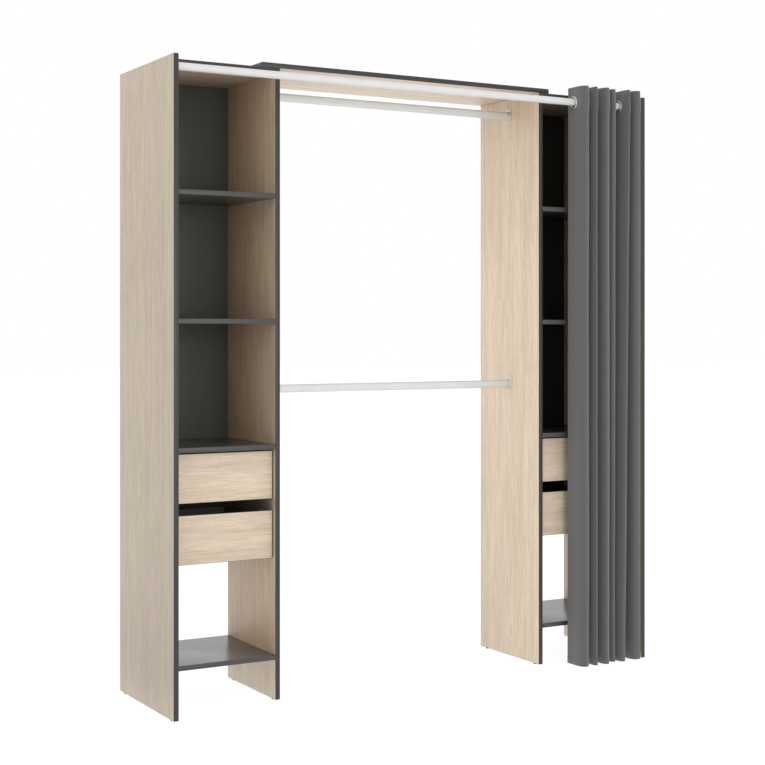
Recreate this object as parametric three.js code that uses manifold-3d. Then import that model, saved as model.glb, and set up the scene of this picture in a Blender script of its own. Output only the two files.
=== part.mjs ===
// Open-front wardrobe: two shelf columns with two drawers each, joined by a top board and two
// hanging rails, with an eyelet curtain on a rod in front.
// Millimetres. X runs to the right, Y to the back, Z up. While it is built, X starts at the left
// outer face, Y at the front edges of the outer sides and Z at the undersides of the sides.
import * as THREE from 'three';
import { mergeVertices } from 'three/addons/utils/BufferGeometryUtils.js';
import Module from 'manifold-3d';

const wasm = await Module();
wasm.setup();

// Carcass
const columnWidth = 394;
const bayWidth = 996;
const outerSideDepth = 500;
const innerSideDepth = 400;
const sideHeight = 2030;
const boardThickness = 16;
const compartments = 3;
const bottomShelfHeight = 128.5;
const openBayHeight = 309;
const backThickness = 3;
const backBelowDrawers = 23.5;

// Top board across the bay
const topBoardLeftLap = 62;
const topBoardRightLap = 42;

// Glides under the side panels
const glideRadius = 5;
const glideHeight = 5;
const glideInset = 37;

// Drawers
const drawerFrontHeight = 155;
const drawerFrontThickness = 16;
const drawerFrontRecess = 18;
const drawerFrontSideGap = 3;
const drawerFrontTopGap = 4.5;
const fingerGap = 37;
const drawerBackGap = 8;
const drawerBoxWall = 10;
const drawerBoxDrop = 21.5;
const drawerBoxLift = 15.5;
const drawerSideGap = 12;
const drawerBottomThickness = 3;
const drawerBottomLift = 9;
const drawerBottomGrip = 5;
const runnerEndGap = 5;
const runnerHeight = 17;
const runnerSideGap = 0.5;
const runnerWall = 1.5;
const runnerSetback = 2;
const runnerLift = 22;
const slideTopGap = 0.7;
const slideTipGap = 1;

// Hanging rails in the bay
const upperRailDrop = 62;
const lowerRailHeight = 991.5;
const railTall = 28;
const railWide = 15;
const railWall = 1.2;
const railArcSteps = 8;
const socketWall = 2;
const socketPlate = 2.5;
const socketDepth = 10;
const socketPlateWidth = 30;
const socketPlateRise = 30;
const socketCornerRadius = 7;
const socketCornerSteps = 4;
const socketScrewRise = 23.5;
const socketScrewRadius = 2.2;

// Curtain rod
const rodRadius = 12.5;
const rodWall = 1;
const rodSetback = 40;
const rodDrop = 33;
const rodSides = 32;
const cupWall = 2.5;
const cupPlate = 2;
const cupDepth = 8;

// Curtain and its eyelets
const gatheredWidth = 259;
const curtainTailGap = 1;
const eyeletCupGap = 1;
const curtainHeader = 53;
const straightHeader = 130;
const curtainFloorGap = 5;
const clothThickness = 1.5;
const frontFoldReach = 62;
const backFoldReach = 49;
const flatMargin = 0.5;
const entryHandle = { max: 13, legShare: 0.85, tipShare: 0.6 };
const exitHandle = { max: 9, legShare: 0.55, tipShare: 0.55 };
const foldSteps = 6;
const eyeletPlay = 3;
const eyeletWall = 4;
const eyeletLip = 4;
const eyeletThickness = 6;
const eyeletSides = 16;

// Where the gathered cloth crosses the rod, from the first eyelet to the last: shares of the gathered
// width, at the rod and at the hem.
const crossingShares = [
  [0, -0.012],
  [0.127, 0.127],
  [0.205, 0.197],
  [0.259, 0.259],
  [0.355, 0.355],
  [0.475, 0.475],
  [0.529, 0.529],
  [0.618, 0.598],
  [0.755, 0.645],
  [0.815, 0.737],
  [0.888, 0.869],
  [1, 1],
];

// Where each fold's tip lies: shares of the gathered width at the rod and at the hem, then of that
// side's fold reach.
const foldTipShares = [
  [0.081, 0.08, 0.984],
  [0.166, 0.166, 0.9],
  [0.231, 0.23, 1],
  [0.305, 0.305, 0.96],
  [0.419, 0.415, 1],
  [0.502, 0.502, 0.82],
  [0.579, 0.579, 0.694],
  [0.684, 0.628, 0.98],
  [0.792, 0.707, 0.95],
  [0.85, 0.807, 0.86],
  [0.978, 0.976, 0.88],
];
const leadingEdgeShare = 0.65;
const tailEdgeShare = 0.8;

// Clearances
const fitGap = 0.3;
const overrun = 5;
const weldDepth = 1;

// Sides of small pins and holes
const pinSides = 16;

// Worked out from the values above
const width = 2 * columnWidth + bayWidth;
const clearWidth = columnWidth - 2 * boardThickness;
const innerFront = outerSideDepth - innerSideDepth;
const backFace = outerSideDepth - backThickness;
const columnTopUnderside = sideHeight - boardThickness;
const drawerFrontFace = innerFront + drawerFrontRecess;
const drawerBoxFront = drawerFrontFace + drawerFrontThickness;
const lowerDrawerBottom = bottomShelfHeight + boardThickness + openBayHeight;
const upperDrawerBottom = lowerDrawerBottom + drawerFrontHeight + fingerGap;
const drawerShelfTop = upperDrawerBottom + drawerFrontHeight + drawerFrontTopGap + boardThickness;
const shelfPitch = (sideHeight - drawerShelfTop) / compartments;
const drawerBoxHeight = drawerFrontHeight - drawerBoxDrop - drawerBoxLift;
const drawerBoxLength = backFace - drawerBackGap - drawerBoxFront;
const runnerLength = drawerBoxLength - runnerEndGap;
const runnerDepth = drawerSideGap - runnerSideGap;
const slideHeight = runnerHeight - 2 * runnerWall - fitGap - slideTopGap;
const railSetback = innerFront + innerSideDepth / 2;
const rodLength = width - 2 * boardThickness;
const rodHeight = sideHeight - rodDrop;
const eyeletBore = rodRadius + eyeletPlay;
const eyeletGrooveRadius = eyeletBore + eyeletWall;
const eyeletRadius = eyeletGrooveRadius + eyeletLip;
const eyeletDrop = eyeletBore * Math.cos(Math.PI / eyeletSides) - rodRadius - fitGap;
const curtainTop = rodHeight + curtainHeader;
const curtainBottom = curtainFloorGap - glideHeight;
const flatHalf = eyeletRadius + flatMargin;
const rightWall = width - boardThickness;
const lastCrossing = rightWall - cupDepth - eyeletCupGap - eyeletThickness / 2;
const alongGather = (share) => lastCrossing - gatheredWidth * (1 - share);
const crossings = crossingShares.map(([rodShare]) => alongGather(rodShare));
const straightShare = 1 - straightHeader / (curtainTop - curtainBottom);

const group = new THREE.Group();

const oak = () => new THREE.MeshStandardMaterial({ color: 0xd9c4a6, roughness: 0.65 });
const anthracite = () => new THREE.MeshStandardMaterial({ color: 0x4c4d4f, roughness: 0.55 });
const hardboard = () => new THREE.MeshStandardMaterial({ color: 0x3e3f41, roughness: 0.75 });
const satinMetal = () => new THREE.MeshStandardMaterial({ color: 0xd2d3d3, roughness: 0.35, metalness: 0.6 });
const whiteMetal = () => new THREE.MeshStandardMaterial({ color: 0xe6e7e8, roughness: 0.3, metalness: 0.3 });
const cloth = () => new THREE.MeshStandardMaterial({ color: 0x5f6062, roughness: 0.95, side: THREE.DoubleSide });

function place(name, geometry, material) {
  const mesh = new THREE.Mesh(geometry, material);
  mesh.name = name;
  group.add(mesh);
  return mesh;
}

// A box between two corners.
function block(low, high) {
  const size = high.map((value, axis) => value - low[axis]);
  const geometry = new THREE.BoxGeometry(...size);
  geometry.translate(...low.map((value, axis) => value + size[axis] / 2));
  return geometry;
}

// Turns a closed geometry into a solid that can be joined and cut.
function solid(geometry) {
  const bare = geometry.clone();
  bare.deleteAttribute('normal');
  bare.deleteAttribute('uv');
  const merged = mergeVertices(bare);
  const vertProperties = new Float32Array(merged.attributes.position.array);
  const triVerts = new Uint32Array(merged.index.array);
  return new wasm.Manifold(new wasm.Mesh({ numProp: 3, vertProperties, triVerts }));
}

function surface(body) {
  const mesh = body.getMesh();
  const geometry = new THREE.BufferGeometry();
  geometry.setAttribute('position', new THREE.BufferAttribute(mesh.vertProperties, mesh.numProp));
  geometry.setIndex(new THREE.BufferAttribute(mesh.triVerts, 1));
  const faceted = geometry.toNonIndexed();
  faceted.computeVertexNormals();
  return faceted;
}

// A pin or drill along one axis, centred on a point.
function cylinder(radius, length, sides, axis, centre) {
  const geometry = new THREE.CylinderGeometry(radius, radius, length, sides);
  if (axis === 'x') geometry.rotateZ(Math.PI / 2);
  if (axis === 'z') geometry.rotateX(Math.PI / 2);
  geometry.translate(...centre);
  return geometry;
}

// A side panel with its two nail-in glides.
function sidePanel(name, left, front) {
  const right = left + boardThickness;
  let body = solid(block([left, front, 0], [right, outerSideDepth, sideHeight]));
  for (const y of [front + glideInset, outerSideDepth - glideInset]) {
    const centre = [left + boardThickness / 2, y, (weldDepth - glideHeight) / 2];
    body = body.add(solid(cylinder(glideRadius, glideHeight + weldDepth, pinSides, 'z', centre)));
  }
  place(name, surface(body), oak());
}

function shelf(name, left, underside) {
  const low = [left, innerFront, underside];
  const high = [left + clearWidth, backFace, underside + boardThickness];
  place(name, block(low, high), anthracite());
}

// One column: its sides, shelves and back, with the deeper side outwards.
function column(side, left) {
  const inside = left + boardThickness;
  const far = left + columnWidth - boardThickness;
  const outerFirst = side === 'left';
  sidePanel(`${side}_outer_side`, outerFirst ? left : far, 0);
  sidePanel(`${side}_inner_side`, outerFirst ? far : left, innerFront);
  shelf(`${side}_top_panel`, inside, columnTopUnderside);
  const shelves = ['drawer_shelf', 'middle_shelf', 'upper_shelf'];
  shelves.forEach((name, i) => {
    shelf(`${side}_${name}`, inside, drawerShelfTop + i * shelfPitch - boardThickness);
  });
  shelf(`${side}_bottom_shelf`, inside, bottomShelfHeight);
  const backLow = [inside, backFace, lowerDrawerBottom - backBelowDrawers];
  const backHigh = [inside + clearWidth, outerSideDepth, sideHeight];
  place(`${side}_back`, block(backLow, backHigh), hardboard());
}

function topBoard() {
  const left = columnWidth - topBoardLeftLap;
  const low = [left, innerFront, sideHeight];
  const right = columnWidth + bayWidth + topBoardRightLap;
  const high = [right, outerSideDepth, sideHeight + boardThickness];
  place('top_board', block(low, high), oak());
}

// The folded drawer box: two sides and a back in one piece, grooved for the bottom, with the slide
// that runs in its runner along the outside of each side.
function drawerBox(left, bottom) {
  const outerLeft = left + drawerSideGap;
  const outerRight = left + clearWidth - drawerSideGap;
  const back = drawerBoxFront + drawerBoxLength;
  const top = bottom + drawerBoxHeight;
  let body = solid(block([outerLeft, drawerBoxFront, bottom], [outerRight, back, top]));
  const hollowLow = [outerLeft + drawerBoxWall, drawerBoxFront - overrun, bottom - overrun];
  const hollowHigh = [outerRight - drawerBoxWall, back - drawerBoxWall, top + overrun];
  body = body.subtract(solid(block(hollowLow, hollowHigh)));
  const slotBottom = bottom + drawerBottomLift;
  const slotTop = slotBottom + drawerBottomThickness + 2 * fitGap;
  const slotLow = [hollowLow[0] - drawerBottomGrip, drawerBoxFront - overrun, slotBottom];
  const slotHigh = [hollowHigh[0] + drawerBottomGrip, hollowHigh[1] + drawerBottomGrip, slotTop];
  body = body.subtract(solid(block(slotLow, slotHigh)));
  const slideReach = runnerDepth - runnerWall - slideTipGap;
  const slideSpans = [
    [left + drawerSideGap - slideReach, outerLeft + weldDepth],
    [outerRight - weldDepth, outerRight + slideReach],
  ];
  const slideBottom = bottom + runnerLift + runnerWall + fitGap;
  for (const [near, far] of slideSpans) {
    const low = [near, drawerBoxFront, slideBottom];
    const high = [far, drawerBoxFront + runnerLength, slideBottom + slideHeight];
    body = body.add(solid(block(low, high)));
  }
  return surface(body);
}

// A channel on a side panel, open towards the drawer. The facing is 1 where it opens towards +X.
function runner(name, wall, facing, bottom) {
  const across = (near, far) => (facing > 0 ? [wall + near, wall + far] : [wall - far, wall - near]);
  const front = drawerBoxFront + runnerSetback;
  const back = front + runnerLength;
  const low = bottom + runnerLift;
  const [x0, x1] = across(0, runnerDepth);
  const [h0, h1] = across(runnerWall, runnerDepth + overrun);
  const outside = block([x0, front, low], [x1, back, low + runnerHeight]);
  const hollowLow = [h0, front - overrun, low + runnerWall];
  const hollowHigh = [h1, back + overrun, low + runnerHeight - runnerWall];
  place(name, surface(solid(outside).subtract(solid(block(hollowLow, hollowHigh)))), whiteMetal());
}

function drawer(name, left, frontBottom) {
  const bottom = frontBottom + drawerBoxLift;
  const right = left + clearWidth;
  const frontLow = [left + drawerFrontSideGap, drawerFrontFace, frontBottom];
  const frontHigh = [right - drawerFrontSideGap, drawerBoxFront, frontBottom + drawerFrontHeight];
  place(`${name}_front`, block(frontLow, frontHigh), oak());
  place(`${name}_box`, drawerBox(left, bottom), anthracite());
  const grip = drawerSideGap + drawerBoxWall - drawerBottomGrip + fitGap;
  const panelBack = drawerBoxFront + drawerBoxLength - drawerBoxWall + drawerBottomGrip - fitGap;
  const panelBottom = bottom + drawerBottomLift + fitGap;
  const panelLow = [left + grip, drawerBoxFront + fitGap, panelBottom];
  const panelHigh = [right - grip, panelBack, panelBottom + drawerBottomThickness];
  place(`${name}_bottom`, block(panelLow, panelHigh), hardboard());
  runner(`${name}_left_runner`, left, 1, bottom);
  runner(`${name}_right_runner`, right, -1, bottom);
}

function drawers(side, left) {
  drawer(`${side}_upper_drawer`, left + boardThickness, upperDrawerBottom);
  drawer(`${side}_lower_drawer`, left + boardThickness, lowerDrawerBottom);
}

// An upright oval about the origin, with half-round top and bottom, grown by an offset.
function oval(offset) {
  const radius = railWide / 2 + offset;
  const rise = (railTall - railWide) / 2;
  const points = [];
  for (let i = 0; i <= railArcSteps; i += 1) {
    const angle = (Math.PI * i) / railArcSteps;
    points.push(new THREE.Vector2(radius * Math.cos(angle), rise + radius * Math.sin(angle)));
  }
  const upperHalf = points.slice();
  upperHalf.forEach((p) => points.push(new THREE.Vector2(-p.x, -p.y)));
  return points;
}

// Extrudes an outline in Y and Z along X, from a plane at x.
function alongX(outline, holes, x, length, y, z) {
  const shape = new THREE.Shape(outline);
  holes.forEach((hole) => shape.holes.push(new THREE.Path(hole)));
  const geometry = new THREE.ExtrudeGeometry(shape, { depth: length, bevelEnabled: false });
  geometry.rotateX(Math.PI / 2);
  geometry.rotateZ(Math.PI / 2);
  geometry.translate(x, y, z);
  return geometry;
}

// The socket's plate in Y and Z about the rail's axis: a rectangle with rounded corners.
function plateOutline(drop) {
  const across = socketPlateWidth / 2 - socketCornerRadius;
  const corners = [
    [across, socketPlateRise - socketCornerRadius],
    [-across, socketPlateRise - socketCornerRadius],
    [-across, socketCornerRadius - drop],
    [across, socketCornerRadius - drop],
  ];
  return corners.flatMap(([y, z], quarter) => {
    const points = [];
    for (let i = 0; i <= socketCornerSteps; i += 1) {
      const angle = (Math.PI / 2) * (quarter + i / socketCornerSteps);
      const arc = new THREE.Vector2(Math.cos(angle), Math.sin(angle));
      points.push(arc.multiplyScalar(socketCornerRadius).add(new THREE.Vector2(y, z)));
    }
    return points;
  });
}

// A rail's end socket: a plate with its screw hole above, and a rim round the rail's end.
// The facing is 1 where the rail leaves towards +X and -1 where it leaves towards -X.
function railSocket(name, wall, facing, z) {
  const start = (length) => (facing > 0 ? wall : wall - length);
  const rimOffset = fitGap + socketWall;
  const outline = plateOutline(railTall / 2 + rimOffset);
  const plate = alongX(outline, [], start(socketPlate), socketPlate, railSetback, z);
  const rim = alongX(oval(rimOffset), [], start(socketDepth), socketDepth, railSetback, z);
  const seatStart = facing > 0 ? wall + socketPlate : wall - socketDepth - overrun;
  const seatLength = socketDepth - socketPlate + overrun;
  const seat = alongX(oval(fitGap), [], seatStart, seatLength, railSetback, z);
  const centre = [start(socketPlate) + socketPlate / 2, railSetback, z + socketScrewRise];
  const drill = cylinder(socketScrewRadius, socketPlate + 2 * overrun, pinSides, 'x', centre);
  const body = solid(plate).add(solid(rim)).subtract(solid(seat)).subtract(solid(drill));
  place(name, surface(body), whiteMetal());
}

function hangingRail(name, z) {
  const left = columnWidth;
  const right = columnWidth + bayWidth;
  const start = left + socketPlate + fitGap;
  const length = bayWidth - 2 * (socketPlate + fitGap);
  place(name, alongX(oval(0), [oval(-railWall)], start, length, railSetback, z), satinMetal());
  railSocket(`${name}_left_socket`, left, 1, z);
  railSocket(`${name}_right_socket`, right, -1, z);
}

// A ring-shaped profile turned about X: pairs of a place along X and a radius.
function turnedRing(profile, sides, x, y, z) {
  const points = profile.map(([along, radius]) => new THREE.Vector2(radius, along));
  points.push(points[0].clone());
  const geometry = new THREE.LatheGeometry(points, sides);
  geometry.rotateY(Math.PI / sides);
  geometry.rotateZ(-Math.PI / 2);
  geometry.translate(x, y, z);
  return surface(solid(geometry));
}

function rodCup(name, wall, facing) {
  const seatRadius = (rodRadius + fitGap) / Math.cos(Math.PI / rodSides);
  const middle = (depth) => [wall + (facing * depth) / 2, rodSetback, rodHeight];
  const outer = cylinder(seatRadius + cupWall, cupDepth, rodSides, 'x', middle(cupDepth));
  const seatCentre = wall + facing * (cupPlate + cupDepth / 2);
  const seat = cylinder(seatRadius, cupDepth, rodSides, 'x', [seatCentre, rodSetback, rodHeight]);
  place(name, surface(solid(outer).subtract(solid(seat))), whiteMetal());
}

function curtainRod() {
  const start = boardThickness + cupPlate + fitGap;
  const length = rodLength - 2 * (cupPlate + fitGap);
  const inner = rodRadius - rodWall;
  const profile = [[0, inner], [0, rodRadius], [length, rodRadius], [length, inner]];
  place('curtain_rod', turnedRing(profile, rodSides, start, rodSetback, rodHeight), whiteMetal());
  rodCup('curtain_rod_left_cup', boardThickness, 1);
  rodCup('curtain_rod_right_cup', rightWall, -1);
}

// A place along the rod that leans from its share at the rod, below the straight header, to its share
// at the hem.
function leaningPlace(rodShare, hemShare, heightShare) {
  const rise = Math.min(1, heightShare / straightShare);
  return alongGather(hemShare + rise * (rodShare - hemShare));
}

// Half a fold: from the flat stretch at a crossing round to the fold's tip, as plan points.
function halfFold(crossing, edge, tip, handle) {
  const across = Math.abs(tip.x - crossing);
  const reach = Math.sign(tip.x - crossing) * Math.min(handle.tipShare * across, handle.max);
  const leg = new THREE.Vector2(crossing, edge);
  const legHandle = new THREE.Vector2(crossing, edge + handle.legShare * (tip.y - edge));
  const tipHandle = new THREE.Vector2(tip.x - reach, tip.y);
  return new THREE.CubicBezierCurve(leg, legHandle, tipHandle, tip).getPoints(foldSteps);
}

// The cloth's middle line in plan, from the leading edge to the tail, at a share of its height.
function clothLine(heightShare) {
  const line = [];
  const add = (points) => points.forEach((p) => {
    const last = line[line.length - 1];
    if (!last || last.distanceTo(p) > fitGap) line.push(p);
  });
  const edgePoint = (x, reachShare) => new THREE.Vector2(x, rodSetback + reachShare * backFoldReach);
  const legs = crossingShares.map(([rodShare, hemShare]) => leaningPlace(rodShare, hemShare, heightShare));
  add([edgePoint(legs[0], leadingEdgeShare)]);
  legs.forEach((x, i) => {
    const towardsFront = i % 2 === 0;
    const from = towardsFront ? rodSetback + flatHalf : rodSetback - flatHalf;
    const to = towardsFront ? rodSetback - flatHalf : rodSetback + flatHalf;
    add([new THREE.Vector2(x, from), new THREE.Vector2(x, to)]);
    if (i === foldTipShares.length) return;
    const [rodShare, hemShare, reachShare] = foldTipShares[i];
    const reach = towardsFront ? -frontFoldReach : backFoldReach;
    const tipX = leaningPlace(rodShare, hemShare, heightShare);
    const tip = new THREE.Vector2(tipX, rodSetback + reachShare * reach);
    add(halfFold(x, to, tip, entryHandle));
    add(halfFold(legs[i + 1], to, tip, exitHandle).reverse());
  });
  add([edgePoint(rightWall - curtainTailGap, tailEdgeShare)]);
  return line;
}

// Both faces of the cloth at one height: out along one face and back along the other.
function clothOutline(heightShare) {
  const line = clothLine(heightShare);
  const normals = line.map((p, i) => {
    const before = line[Math.max(i - 1, 0)];
    const after = line[Math.min(i + 1, line.length - 1)];
    const along = after.clone().sub(before).normalize();
    return new THREE.Vector2(-along.y, along.x);
  });
  const half = clothThickness / 2;
  const near = line.map((p, i) => p.clone().addScaledVector(normals[i], half));
  const far = line.map((p, i) => p.clone().addScaledVector(normals[i], -half)).reverse();
  return near.concat(far);
}

// The gathered curtain: the outline lofted from hem to top, with a hole for each eyelet.
function curtain() {
  const heightShares = [0, straightShare / 2, straightShare, 1];
  const layers = heightShares.map((share) => {
    const z = curtainBottom + share * (curtainTop - curtainBottom);
    return clothOutline(share).map((p) => [p.x, p.y, z]);
  });
  const count = layers[0].length;
  const faces = [];
  for (let i = 0; i < layers.length - 1; i += 1) {
    for (let j = 0; j < count; j += 1) {
      const a = i * count + j;
      const b = i * count + ((j + 1) % count);
      faces.push(a, a + count, b, b, a + count, b + count);
    }
  }
  const last = (layers.length - 1) * count;
  for (let j = 0; j < count / 2 - 1; j += 1) {
    const opposite = count - 1 - j;
    faces.push(j, j + 1, opposite, j + 1, opposite - 1, opposite);
    faces.push(last + j, last + opposite, last + j + 1);
    faces.push(last + j + 1, last + opposite, last + opposite - 1);
  }
  const geometry = new THREE.BufferGeometry();
  geometry.setAttribute('position', new THREE.Float32BufferAttribute(layers.flat(2), 3));
  geometry.setIndex(faces);
  const holeRadius = (eyeletGrooveRadius + fitGap) / Math.cos(Math.PI / eyeletSides);
  const drills = crossings.map((x) => {
    const centre = [x, rodSetback, rodHeight - eyeletDrop];
    return solid(cylinder(holeRadius, clothThickness + 2 * fitGap, eyeletSides, 'x', centre));
  });
  const body = drills.reduce((rest, drill) => rest.subtract(drill), solid(geometry));
  place('curtain', surface(body), cloth());
}

// A two-flanged eyelet that grips the edge of its hole in the cloth and hangs on the rod.
function eyelet(name, x) {
  const lip = clothThickness / 2 + fitGap;
  const half = eyeletThickness / 2;
  const profile = [
    [-half, eyeletBore],
    [-half, eyeletRadius],
    [-lip, eyeletRadius],
    [-lip, eyeletGrooveRadius],
    [lip, eyeletGrooveRadius],
    [lip, eyeletRadius],
    [half, eyeletRadius],
    [half, eyeletBore],
  ];
  place(name, turnedRing(profile, eyeletSides, x, rodSetback, rodHeight - eyeletDrop), satinMetal());
}

column('left', 0);
column('right', width - columnWidth);
topBoard();
drawers('left', 0);
drawers('right', width - columnWidth);
hangingRail('upper_rail', sideHeight - upperRailDrop);
hangingRail('lower_rail', lowerRailHeight);
curtainRod();
curtain();
crossings.forEach((x, i) => eyelet(`eyelet_${String(i + 1).padStart(2, '0')}`, x));

// The origin goes to the middle of the footprint, at the undersides of the glides.
const frontFace = Math.min(...clothOutline(1).map((p) => p.y));
group.position.set(-width / 2, -(frontFace + outerSideDepth) / 2, glideHeight);

export default group;
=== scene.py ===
"""The looks of the open-front wardrobe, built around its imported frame. Metres, +Z up, front towards -Y."""
import math
import random

import bmesh
import bpy
from mathutils import Matrix, Vector

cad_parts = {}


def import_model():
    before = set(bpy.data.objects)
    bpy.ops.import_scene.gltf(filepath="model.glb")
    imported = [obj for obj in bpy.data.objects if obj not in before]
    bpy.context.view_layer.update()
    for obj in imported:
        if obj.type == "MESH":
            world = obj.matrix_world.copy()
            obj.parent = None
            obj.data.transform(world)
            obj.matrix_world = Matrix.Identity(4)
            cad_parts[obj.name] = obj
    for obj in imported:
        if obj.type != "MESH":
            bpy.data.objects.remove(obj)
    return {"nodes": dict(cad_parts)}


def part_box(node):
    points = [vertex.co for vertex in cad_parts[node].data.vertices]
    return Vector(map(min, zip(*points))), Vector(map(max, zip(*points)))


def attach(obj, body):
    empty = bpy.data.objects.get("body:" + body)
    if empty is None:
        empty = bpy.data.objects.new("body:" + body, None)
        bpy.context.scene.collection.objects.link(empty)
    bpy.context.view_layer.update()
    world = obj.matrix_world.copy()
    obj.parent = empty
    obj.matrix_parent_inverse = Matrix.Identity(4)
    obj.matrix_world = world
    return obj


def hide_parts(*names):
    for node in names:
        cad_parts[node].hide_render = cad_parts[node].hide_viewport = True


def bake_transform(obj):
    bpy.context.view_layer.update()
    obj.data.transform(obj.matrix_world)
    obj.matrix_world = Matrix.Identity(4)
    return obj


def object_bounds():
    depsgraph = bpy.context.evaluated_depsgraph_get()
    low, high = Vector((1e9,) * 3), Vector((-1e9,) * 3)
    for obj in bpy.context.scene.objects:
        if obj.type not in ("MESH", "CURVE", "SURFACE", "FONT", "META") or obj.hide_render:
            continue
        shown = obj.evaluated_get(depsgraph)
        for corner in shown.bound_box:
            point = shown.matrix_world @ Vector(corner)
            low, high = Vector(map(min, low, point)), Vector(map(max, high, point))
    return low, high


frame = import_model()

CAD_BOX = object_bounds()
MM = 0.001
SIDES = ("left", "right")
LEVELS = ("upper", "lower")

# Camera: the photograph's station point and framing
CAMERA_PLACE = (-2.607865, -4.868881, 1.198788)
CAMERA_YAW = math.radians(-32.188)
CAMERA_LENS = 75.0
CAMERA_SENSOR = 36.0
CAMERA_SHIFT = (-0.16446, -0.07088)
CAMERA_CLIP = 200

# World, floor and key light
WHITE = (1, 1, 1)
WORLD_STRENGTH = 1.0
FLOOR_SIZE = 40
FLOOR_GLOW = 0.95
FLOOR_TONES = (0.15, 0.16)
KEY_PLACE = (-0.6, -4.8, 1.5)
KEY_TARGET = (0, 0, 1.0)
KEY_SIZE = (1.6, 1.6)
KEY_POWER = 45

# Black cards beside the left column: distance, width and height
FLAGS = {"flag": (2.3, 3.6, 1.5), "foot_flag": (0.35, 1.2, 0.1)}

# Fills for the light that boards throw back: each to the right of a panel, upright between two heights
WARM_BOUNCE = (1.0, 0.68, 0.40)
BROWN_BOUNCE = (1.0, 0.5, 0.15)
BACK_FACE_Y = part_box("left_back")[0].y
FILLS = (
    {"name": "bay_fill", "beside": "left_inner_side", "gap": 30 * MM, "y": 0.06, "span": (0.3, 2.0),
     "width": 0.3, "power": 4.0, "lit": "right_inner_side_board"},
    {"name": "shelf_fill", "beside": "left_outer_side", "gap": 4 * MM, "y": 0.06, "span": (0.87, 1.97),
     "width": 0.3, "power": 0.3, "colour": WARM_BOUNCE},
    {"name": "foot_fill", "beside": "left_outer_side", "gap": 4 * MM, "y": 0.06, "span": (0.155, 0.41),
     "width": 0.3, "power": 0.27, "colour": WARM_BOUNCE},
    {"name": "right_fill", "beside": "right_inner_side", "gap": 30 * MM, "y": 0.0, "span": (0.87, 1.97),
     "width": 0.3, "power": 0.1, "colour": BROWN_BOUNCE, "lit": "right_outer_side_board"},
    {"name": "back_fill", "beside": "left_outer_side", "gap": 20 * MM, "y": BACK_FACE_Y - 0.09,
     "span": (0.87, 1.85), "width": 20 * MM, "power": 2.8, "facing": (0, 1), "lit": "left_back"},
)

# Mesh building
ROUND_SEGMENTS = 2
SEAL_DISTANCE = 0.001 * MM
WELD_DISTANCE = 0.01 * MM
CUT_PRECISION = 1e-7

# The sharpest angle in degrees that each kind of piece shows smooth
BOARD_SMOOTH = 30
TURNED_SMOOTH = 35
SCREW_SMOOTH = 40
EYELET_SMOOTH = 50
CLOTH_SMOOTH = 50

# Boards
EDGE_ROUND = 0.8 * MM
FRONT_ROUND = 1.2 * MM
BAND_DEPTH = 1.2 * MM
FLAT_ON_SHARE = 0.95
SKIN, FRONT_EDGE, END_EDGE, REAR_EDGE = range(4)

# Glides
GLIDE_HEIGHT = 5 * MM
GLIDE_RADIUS = 5 * MM
GLIDE_INSET = 37 * MM
GLIDE_SIDES = 24
GLIDE_PROFILE_SHARES = ((1, 0), (1, 0.9), (0.9, 1), (0.25, 1), (0.04, 0.88), (0, 0.65), (0, 0))

# Tubes and their ends
TUBE_SIDES = 64
ROD_RADIUS = 12.5 * MM
ROD_WALL = 1.0 * MM
RAIL_WALL = 1.2 * MM
SOCKET_ROUND = 0.5 * MM
SOCKET_SHARP = math.radians(50)

# Socket screws: a dome on the tab, with a cross recess given by its arms' half width and reach
TAB_THICKNESS = 2.5 * MM
SCREW_LIFT = 23.5 * MM
SCREW_RADIUS = 4 * MM
SCREW_RINGS = 8
SCREW_SPOKES = 32
SCREW_DOME_SHARE = 0.45
SCREW_FALL_SHARE = 0.8
RECESS_DEPTH_SHARE = 0.35
RECESS_ARM_SHARES = (0.13, 0.6)

# Drawers
BOX_WALL = 10 * MM
BOX_ROUND = 1.0 * MM
BOTTOM_GRIP = 5 * MM
GROOVE_PLAY = 0.3 * MM
CHANNEL_SHEET = 1.5 * MM
SLIDE_SHEET = 1.0 * MM
SLIDE_REACH = 9 * MM
SLIDE_LENGTH = 350 * MM
SLIDE_PLAY = 0.3 * MM
SLIDE_HEADROOM = 0.7 * MM
ROLLER_RADIUS = 5.4 * MM
ROLLER_WIDTH = 5.5 * MM
ROLLER_EDGE = 0.6 * MM
ROLLER_SIDES = 28
HUB_SHARES = (0.45, 0.4)

# Eyelets
RING_SIDES = 48
FLANGE_WIDTH = 7.7 * MM
FLANGE_STEPS = 8
GROOVE_DEPTH = 4 * MM
EYELET_PLAY = 0.15 * MM

# Curtain in plan: a handle gives its longest reach at the tip, and the shares of its leg and of its tip
GATHER_WIDTH = 259 * MM
ROD_AXIS_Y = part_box("curtain_rod")[0].y + ROD_RADIUS
FLAT_HALF = 24 * MM
SEAM_HALF = 21.5 * MM
FRONT_REACH = 62 * MM
BACK_REACH = 49 * MM
ENTRY_HANDLE = (13 * MM, 0.85, 0.6)
EXIT_HANDLE = (9 * MM, 0.55, 0.55)
LEADING_REACH_SHARE = 0.65
LEADING_STEP_SHARES = (0.0, 0.04, 0.2, 0.4, 0.6, 0.8)
TAIL_GAP = 1 * MM
TAIL_REACH_SHARE = 0.8
TAIL_START_SHARE = 0.6
TAIL_END_HANDLE = (4 * MM, 2 * MM)
TAIL_STEPS = 8
FOLD_STEPS = 16
CROSSING_HEM_SHARES = [-0.012, 0.127, 0.197, 0.259, 0.355, 0.475, 0.529, 0.598, 0.645, 0.737, 0.869, 1]

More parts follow.
